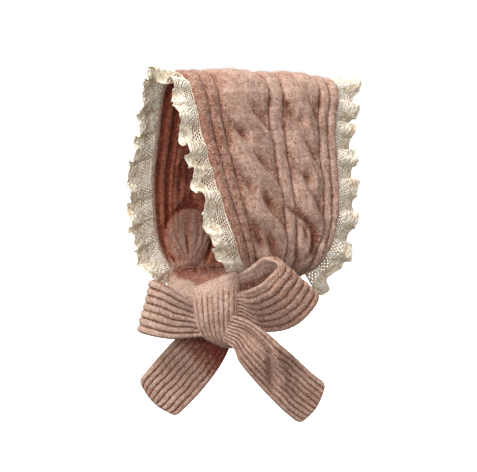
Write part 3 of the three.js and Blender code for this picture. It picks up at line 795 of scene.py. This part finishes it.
def make_ribbon(name, table, steps, ribs, seed):
    """A flat rib-knit ribbon swept along the rows of a table, ribbed on both of its faces."""
    per_rib = 8
    columns = ribs * per_rib
    number = np.arange(columns + 1)
    rib = np.minimum(number // per_rib, ribs - 1)
    rib_place = -np.cos(np.pi * (number - rib * per_rib) / per_rib)
    rib_across = (rib + (rib_place + 1) / 2) / ribs
    rows = len(table["x"]) - 1
    values = {key: np.array(column, float) for key, column in table.items()}
    is_loop, is_tail = name.endswith("loop"), name.endswith("tail")

    def centre(row):
        x, y, z = (smooth(values[key], row) * MM for key in ("x", "y", "z"))
        return x[:, None] * BOW_RIGHT + y[:, None] * BOW_BACK + z[:, None] * [0, 0, 1] + KNOT_AT

    fine = np.linspace(0, rows, 400)
    runs = np.concatenate([[0], np.cumsum(np.linalg.norm(np.diff(centre(fine), axis=0), axis=1))])

    def place_ribbon(step, column, is_front):
        run = runs[-1] * step / steps
        row = np.interp(run, runs, fine)
        slant, lean = (np.radians(smooth(values[key], row)) for key in ("slant", "lean"))
        half = smooth(values["half"], row) * MM
        across = (
            (-np.sin(slant) * np.cos(lean))[:, None] * BOW_RIGHT
            + (-np.sin(lean))[:, None] * BOW_BACK
            + (np.cos(slant) * np.cos(lean))[:, None] * [0, 0, 1]
        )
        along = unit(centre(row + 0.02) - centre(row - 0.02))
        outward = unit(np.cross(across, along))
        place = rib_place[column]
        aside = 2 * rib_across[column] - 1
        from_side = (1 - np.abs(aside)) * half
        from_end = np.minimum(run, runs[-1] - run)
        thickness = lip(from_side, TIE_WALL) * lip(from_end, TIE_WALL)
        fold, flattened = fold_lift(name, run / runs[-1], aside)
        is_inner = is_front if name == "right_loop" else is_loop & ~is_front
        smoothed = (1 - flattened) * np.where(is_inner, 0.15, 1)
        if name == "strap_to_right_end":
            strip = 0.92 - 0.5 * np.clip(run / (45 * MM), 0, 1)
            smoothed = smoothed * 0.4 * np.clip((aside + strip) / 0.15, 0, 1)
        depth = 1 + 0.4 * lumps(run, 2.2 * aside * half, 23 * MM, seed + 2)
        depth *= 0.55 + 0.9 * stitches(run, 0, TIE_STITCH)
        rise = np.where(rib_profile(place) < 0, depth, 1) * rib_profile(place)
        relief = TIE_RIB_RISE * rise * smoothed
        relief += 0.3 * MM * stitches(run, place, TIE_STITCH)
        relief += 0.3 * MM * lumps(run, aside * half, 13 * MM, seed)
        sway = 0.8 * MM * lumps(run, 0 * run, 45 * MM, seed + 1) + fold
        if name == "strap_to_right_end":
            curl = np.clip((-aside - 0.68) / 0.32, 0, 1) ** 1.6
            sway = sway + 8 * MM * curl * np.clip(run / (12 * MM), 0, 1)
        lift = (TIE_WALL / 2 + relief) * thickness * np.where(is_front, 1, -1) + sway
        points, rounded = centre(row), 0 * run
        if is_tail:
            near_end = np.clip(1 - (runs[-1] - run) / CORNER_RADIUS, 0, 1)
            rounded = CORNER_RADIUS * (1 - np.sqrt(1 - near_end**2))
            bulge = 3.5 * MM * (1 - aside**2) * np.clip(4 * run / runs[-1] - 3, 0, 1)
            points = points + along * bulge[:, None]
        wander = 0.7 * MM * lumps(run, 0.4 * aside * half, 21 * MM, seed + 3) * (1 - aside**4)
        sideways = (half - rounded) * aside + wander
        points = points + across * sideways[:, None] + outward * lift[:, None]
        cloth = np.stack([run, rib_across[column] * ribs * TIE_RIB_WIDTH], -1)
        # Painted shade: darker in the rib furrows, as the relief drops.
        height = 1 - smoothed + smoothed * np.clip((rise + 0.7) / 1.7, 0, 1)
        # Painted light or painted shade over the whole ribbon.
        height *= PAINTED_RIBBON_LIGHT_AND_SHADE.get(name, 1)
        # Painted shade on the right loop's inner face, fading out towards one edge.
        if name == "right_loop":
            painted_loop_shade = 0.15 + 0.85 * np.clip((aside - 0.1) / 0.35, 0, 1)
            height = np.where(is_inner, painted_loop_shade, height)
        outer = 0 * run + 1
        # Painted shadow near the ribbon's start: darker and redder on its front face.
        if name in PAINTED_BOW_SHADOW:
            start, reach, shadow_redness = PAINTED_BOW_SHADOW[name]
            out_of_shadow = np.where(is_front, np.clip((run - start) / reach, 0, 1), 1)
            height = height * out_of_shadow - 0.3 * (1 - out_of_shadow)
            outer -= shadow_redness * (1 - out_of_shadow)
        if name == "strap_to_right_end":
            seam = np.exp(-(((run - 4 * MM) / (3 * MM)) ** 2))
            lift_seam = np.where(is_front, 0.3, 1.5) * MM * seam * thickness
            points -= outward * lift_seam[:, None]
            # Painted shade in the strap's hollow and along its crease: darker and tinted like the
            # inside, with lighter knitted rows. The rows and the crease are also pressed into the
            # surface.
            in_hollow = np.clip((aside + strip) / 0.15, 0, 1) * (1 - is_front) * (1 - 0.7 * seam)
            crease = np.exp(-(((aside + strip - 0.06) / 0.07) ** 2)) * (1 - is_front)
            knitted_rows = stitches(run, 0, 4.6 * MM) * in_hollow
            points -= outward * ((0.5 * knitted_rows - 0.9 * crease) * MM * thickness)[:, None]
            height *= 1 - 0.85 * in_hollow * (1 - 0.4 * knitted_rows) - 0.5 * crease
            outer = 1 - 0.6 * in_hollow
        return points, cloth, height, outer

    return wrap_sheet(name, steps, columns, place_ribbon)


tie_wool = wool(
    "ribbed_tie_wool",
    light=(0.66, 0.495, 0.415),
    middle=(0.42, 0.25, 0.18),
    deep=(0.17, 0.035, 0.016),
    # colour of the painted shade on the inside
    inside=(0.95, 0.5, 0.4),
    pitch=TIE_STITCH,
    column_width=4 * MM,
    furrow_share=0.56,
)
# Name, the solid that a ribbon stands for, its table, steps along it, ribs, and its flat size: its
# width before it is bunched at the knot, and the length of its middle line.
RIBBONS = [
    ("strap_to_right_end", "strap_right", strap_table(RIGHT_STRAP, -LAST_ROW), 130, 7, 0.058, 0.105),
    ("strap_to_left_end", "strap_left", strap_table(LEFT_STRAP, LAST_ROW), 80, 6, 0.044, 0.065),
    ("right_loop", "bow_loop_right", RIGHT_LOOP, 170, 7, 0.045, 0.154),
    ("left_loop", "bow_loop_left", LEFT_LOOP, 150, 7, 0.045, 0.116),
    ("right_tail", "tie_tail_right", RIGHT_TAIL, 130, 9, 0.045, 0.11),
    ("left_tail", "tie_tail_left", LEFT_TAIL, 110, 9, 0.045, 0.0904),
]
for seed, (name, cad_node, table, steps, ribs, width, length) in enumerate(RIBBONS):
    ribbon = make_ribbon(name, table, steps, ribs, 40 + 3 * seed)
    ribbon.data.materials.append(tie_wool)
    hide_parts(cad_node)
    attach(ribbon, "root")

# The knot: one tie wrapped over the other and pulled tight, so that its ribs stand upright side
# by side. Its top edge rolls over, and it narrows to the place where the tails come out.
KNOT_ROWS = {
    "left_x": [-20.5, -22.5, -22, -20.5, -18, -12, 3],
    "left_z": [20, 14, 5, -5, -15, -24, -32],
    "right_x": [17.5, 20.5, 20.5, 20, 19, 17.5, 14],
    "right_z": [35, 29, 15, -1, -14, -26, -34],
    "depth": [9, 20, 26, 28, 25, 19, 9],
}
KNOT_RIBS = 9
KNOT_STEPS = (216, 110)  # round it, and down it
KNOT_CAP = 0.09  # share of its height in which each end closes
KNOT_STITCH = 3.6 * MM
# A flat grid is rolled up into a ball. The faces of a sphere primitive come in another order on
# each run, and the nap, strewn face by face, would come out differently.
bpy.ops.mesh.primitive_grid_add(x_subdivisions=KNOT_STEPS[0], y_subdivisions=KNOT_STEPS[1], size=2)
knot = bpy.context.object
knot.name = knot.data.name = "bow_wrap"
flat = point_places(knot.data)
down, turn = (1 - flat[:, 1]) / 2, np.pi * flat[:, 0]
cap = np.clip(np.minimum(down, 1 - down) / KNOT_CAP, 0, 1)
dome = np.sin(np.pi / 2 * cap)
row = np.clip((down - KNOT_CAP) / 0.82, 0, 1) * (len(KNOT_ROWS["depth"]) - 1)
left_x, left_z, right_x, right_z, knot_depth = (
    smooth(np.array(column, float), row) * MM for column in KNOT_ROWS.values()
)
roll = np.exp(-(((down - 0.13) / 0.07) ** 2))
reach = 0.5 + 0.5 * dome * np.sign(np.cos(turn)) * np.abs(np.cos(turn)) ** 0.75
round_side = np.abs(np.sin(turn)) ** 0.62
rib_place = 2 * ((KNOT_RIBS * reach) % 1) - 1
ribbed = np.clip((down - 0.25) / 0.08, 0, 1) * np.clip((1 - down) / 0.15, 0, 1)
wrapped = down * 60 * MM
dash = stitches(wrapped, rib_place, KNOT_STITCH)
knot_rise = rib_profile(rib_place) * ribbed * round_side
knot_rise = np.where(knot_rise < 0, knot_rise * (0.4 + 1.1 * dash), knot_rise)
knot_relief = 0.8 * MM * knot_rise + 0.3 * MM * dash * ribbed
knot_relief += 0.5 * MM * lumps(wrapped, reach * 40 * MM, 14 * MM, 71)
lift = (knot_depth / 2 * (1 + 0.22 * roll) * round_side + knot_relief * round_side) * dome
crest = 3 * MM * (np.sqrt(np.clip(1 - (1 - cap) ** 2, 0, 1)) - 1)
x = left_x + (right_x - left_x) * reach
z = left_z + (right_z - left_z) * reach + np.where(down < 0.5, crest, -crest)
y = np.sign(np.sin(turn)) * lift
points = x[:, None] * BOW_RIGHT + y[:, None] * BOW_BACK + z[:, None] * [0, 0, 1] + KNOT_AT
knot.data.vertices.foreach_set("co", points.ravel())
# Painted shade in the knot's rib furrows.
knot_height = 1 - ribbed + ribbed * np.clip((rib_profile(rib_place) + 0.9) / 1.9, 0, 1)
knot_height *= 1.12  # painted light: the whole knot is coloured paler
cloth = np.stack([-z, reach * KNOT_RIBS * TIE_RIB_WIDTH], -1)
lay_pattern(knot.data, cloth, height=knot_height, front=0 * down + 1)
bpy.ops.object.mode_set(mode="EDIT")
bpy.ops.mesh.select_all(action="SELECT")
bpy.ops.mesh.remove_doubles(threshold=1e-6)
bpy.ops.mesh.normals_make_consistent(inside=False)
bpy.ops.object.mode_set(mode="OBJECT")
bpy.ops.object.shade_smooth()
knot.data.materials.append(tie_wool)
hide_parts("bow_knot")
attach(knot, "root")

# The nap: the wool is brushed after knitting, so loose fibres lie all over the hood's outside and
# the bow, and stand out round their edges.
def nap_of(cloths, name, fibres_per_area, seed):
    """Short straight fibres strewn over cloths, leaning every way, as one joined mesh."""
    tree = bpy.data.node_groups.new(name, "GeometryNodeTree")
    tree.interface.new_socket("Cloth", in_out="INPUT", socket_type="NodeSocketGeometry")
    tree.interface.new_socket("Nap", in_out="OUTPUT", socket_type="NodeSocketGeometry")
    taken, given = node(tree, "NodeGroupInput"), node(tree, "NodeGroupOutput")
    strewn = node(tree, "GeometryNodeDistributePointsOnFaces")
    # Fibres are strewn as densely as the height value says; that value carries the painted shade
    # too, so fewer stand where the colour is painted darker.
    brushed = node(tree, "GeometryNodeInputNamedAttribute", data_type="FLOAT")
    brushed.inputs["Name"].default_value = "height"
    density = node(tree, "ShaderNodeMath", operation="MULTIPLY")
    density.inputs[1].default_value = fibres_per_area
    strewn.inputs["Seed"].default_value = seed
    is_front = node(tree, "GeometryNodeInputNamedAttribute", data_type="FLOAT")
    is_front.inputs["Name"].default_value = "front"
    outside = node(tree, "FunctionNodeCompare", operation="GREATER_THAN")
    outside.inputs["B"].default_value = 0.5
    lean = node(tree, "FunctionNodeRandomValue", data_type="FLOAT_VECTOR")
    lean.inputs["Min"].default_value = (np.radians(50), 0, 0)
    lean.inputs["Max"].default_value = (np.radians(84), 0, 2 * np.pi)
    turned = node(tree, "FunctionNodeEulerToRotation")
    leaning = node(tree, "FunctionNodeRotateRotation", rotation_space="LOCAL")
    fibre = node(tree, "GeometryNodeMeshCone")
    fibre.inputs["Vertices"].default_value = 3
    fibre.inputs["Radius Bottom"].default_value = 0.055 * MM
    fibre.inputs["Depth"].default_value = 1 * MM
    length = node(tree, "FunctionNodeRandomValue", data_type="FLOAT_VECTOR")
    length.inputs["Min"].default_value = (0.8, 0.8, 1.6)
    length.inputs["Max"].default_value = (1.3, 1.3, 4.2)
    planted = node(tree, "GeometryNodeInstanceOnPoints")
    joined = node(tree, "GeometryNodeRealizeInstances")
    for output, socket in (
        (taken.outputs[0], strewn.inputs["Mesh"]),
        (brushed.outputs["Attribute"], density.inputs[0]),
        (density.outputs[0], strewn.inputs["Density"]),
        (is_front.outputs["Attribute"], outside.inputs["A"]),
        (outside.outputs[0], strewn.inputs["Selection"]),
        (strewn.outputs["Points"], planted.inputs["Points"]),
        (fibre.outputs["Mesh"], planted.inputs["Instance"]),
        (strewn.outputs["Rotation"], leaning.inputs["Rotation"]),
        (lean.outputs["Value"], turned.inputs["Euler"]),
        (turned.outputs["Rotation"], leaning.inputs["Rotate By"]),
        (leaning.outputs["Rotation"], planted.inputs["Rotation"]),
        (length.outputs["Value"], planted.inputs["Scale"]),
        (planted.outputs["Instances"], joined.inputs["Geometry"]),
        (joined.outputs["Geometry"], given.inputs[0]),
    ):
        tree.links.new(output, socket)
    bpy.ops.object.select_all(action="DESELECT")
    for cloth in cloths:
        cloth.select_set(True)
    bpy.context.view_layer.objects.active = cloths[0]
    bpy.ops.object.duplicate()
    if len(cloths) > 1:
        bpy.ops.object.join()
    nap = bpy.context.object
    nap.name = nap.data.name = name
    strewing = nap.modifiers.new("strewing", "NODES")
    strewing.node_group = tree
    bpy.ops.object.modifier_apply(modifier="strewing")
    return nap


def fibre_wool(name, light, deep):
    """Single wool fibres of mixed shades."""
    material = bpy.data.materials.new(name)
    material.use_nodes = True
    tree = material.node_tree
    shader = tree.nodes["Principled BSDF"]
    shader.inputs["Roughness"].default_value = 0.8
    shader.inputs["Specular IOR Level"].default_value = 0.2
    place = node(tree, "ShaderNodeTexCoord")
    mixed = node(tree, "ShaderNodeTexNoise")
    mixed.inputs["Scale"].default_value = 1 / (2.5 * MM)
    tree.links.new(place.outputs["Object"], mixed.inputs["Vector"])
    ramp = node(tree, "ShaderNodeValToRGB")
    stops = ramp.color_ramp.elements
    stops[0].position, stops[0].color = 0.35, (*deep, 1)
    stops[1].position, stops[1].color = 0.65, (*light, 1)
    tree.links.new(mixed.outputs[0], ramp.inputs[0])
    tree.links.new(ramp.outputs["Color"], shader.inputs["Base Color"])
    return material


nap_wool = fibre_wool("loose_wool_fibres", light=(0.68, 0.53, 0.455), deep=(0.3, 0.15, 0.1))
ribbons = [bpy.data.objects[row[0]] for row in RIBBONS]
# Cloths, name of the nap, fibres on a square metre, and slot.
for cloths, name, fibres_per_area, slot in (
    ([hood], "hood_nap", 0.68e6, "cable_knit"),
    ([*ribbons, knot], "bow_nap", 0.6e6, "rib_knit"),
):
    nap = nap_of(cloths, name, fibres_per_area, 5)
    nap.data.materials.clear()
    nap.data.materials.append(nap_wool)
    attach(nap, "root")

# The room: a plain white floor that throws no light up, a pale room round it, and soft studio
# light from the upper left. The camera stands level with the left cheek.
bpy.ops.mesh.primitive_circle_add(vertices=64, radius=8, fill_type="NGON", location=(0, 0, -0.34))
floor = bpy.context.object
floor.name = "floor"
floor.visible_diffuse = floor.visible_glossy = False
paper = bpy.data.materials.new("white_paper")
paper.use_nodes = True
paper_shader = paper.node_tree.nodes["Principled BSDF"]
paper_shader.inputs["Base Color"].default_value = (0.9, 0.9, 0.9, 1)
paper_shader.inputs["Roughness"].default_value = 1
paper_shader.inputs["Emission Color"].default_value = (1, 1, 1, 1)
paper_shader.inputs["Emission Strength"].default_value = 1
floor.data.materials.append(paper)

# The room is white to the camera, and lights the object from above more than from below.
world = bpy.data.worlds.new("studio")
bpy.context.scene.world = world
world.use_nodes = True
room = world.node_tree
dome_light = room.nodes["Background"]
dome_light.inputs["Color"].default_value = (0.36, 0.315, 0.285, 1)
backdrop = node(room, "ShaderNodeBackground")
backdrop.inputs["Color"].default_value = (1, 1, 1, 1)
direction = node(room, "ShaderNodeSeparateXYZ")
room.links.new(node(room, "ShaderNodeTexCoord").outputs["Generated"], direction.inputs[0])
dome_height = node(room, "ShaderNodeMapRange")
dome_height.inputs["From Min"].default_value = -0.5
dome_height.inputs["From Max"].default_value = 0.8
dome_height.inputs["To Min"].default_value = 0.5
dome_height.inputs["To Max"].default_value = 1.5
room.links.new(direction.outputs["Z"], dome_height.inputs["Value"])
room.links.new(dome_height.outputs[0], dome_light.inputs["Strength"])
chosen = node(room, "ShaderNodeMixShader")
room.links.new(node(room, "ShaderNodeLightPath").outputs["Is Camera Ray"], chosen.inputs[0])
room.links.new(dome_light.outputs[0], chosen.inputs[1])
room.links.new(backdrop.outputs[0], chosen.inputs[2])
room.links.new(chosen.outputs[0], room.nodes["World Output"].inputs["Surface"])
bpy.context.scene.view_settings.view_transform = "Standard"

TARGET = Vector((0.016, -0.030, -0.142))
TO_CAMERA = Vector((0.829 * 0.9962, -0.559 * 0.9962, 0.0872))
TO_RIGHT = Vector((0.559, 0.829, 0))
CAMERA_DISTANCE = 1.785
for name, position, power, size in (
    ("key", TARGET + TO_CAMERA * 0.8 - TO_RIGHT * 0.8 + Vector((0, 0, 1.5)), 33, 0.7),
    ("fill", TARGET + TO_CAMERA * 1.6 - TO_RIGHT * 0.6 + Vector((0, 0, 0.3)), 13.5, 0.8),
    ("side", TARGET + TO_CAMERA * 1.4 + TO_RIGHT * 0.5 + Vector((0, 0, 0.2)), 3, 0.8),
    ("rim", TARGET - TO_CAMERA * 0.8 + Vector((0, 0, 1.5)), 20, 1.0),
):
    bpy.ops.object.light_add(type="AREA", location=position)
    light = bpy.context.object
    light.name = name
    light.data.energy, light.data.size = power, size
    light.rotation_mode = "QUATERNION"
    light.rotation_quaternion = (TARGET - position).to_track_quat("-Z", "Y")

bpy.ops.object.camera_add(location=TARGET + TO_CAMERA * CAMERA_DISTANCE)
camera = bpy.context.object
camera.data.lens, camera.data.sensor_width = 150, 36
camera.data.clip_start, camera.data.clip_end = 0.05, 30
camera.rotation_mode = "QUATERNION"
camera.rotation_quaternion = (-TO_CAMERA).to_track_quat("-Z", "Y")
bpy.context.scene.camera = camera
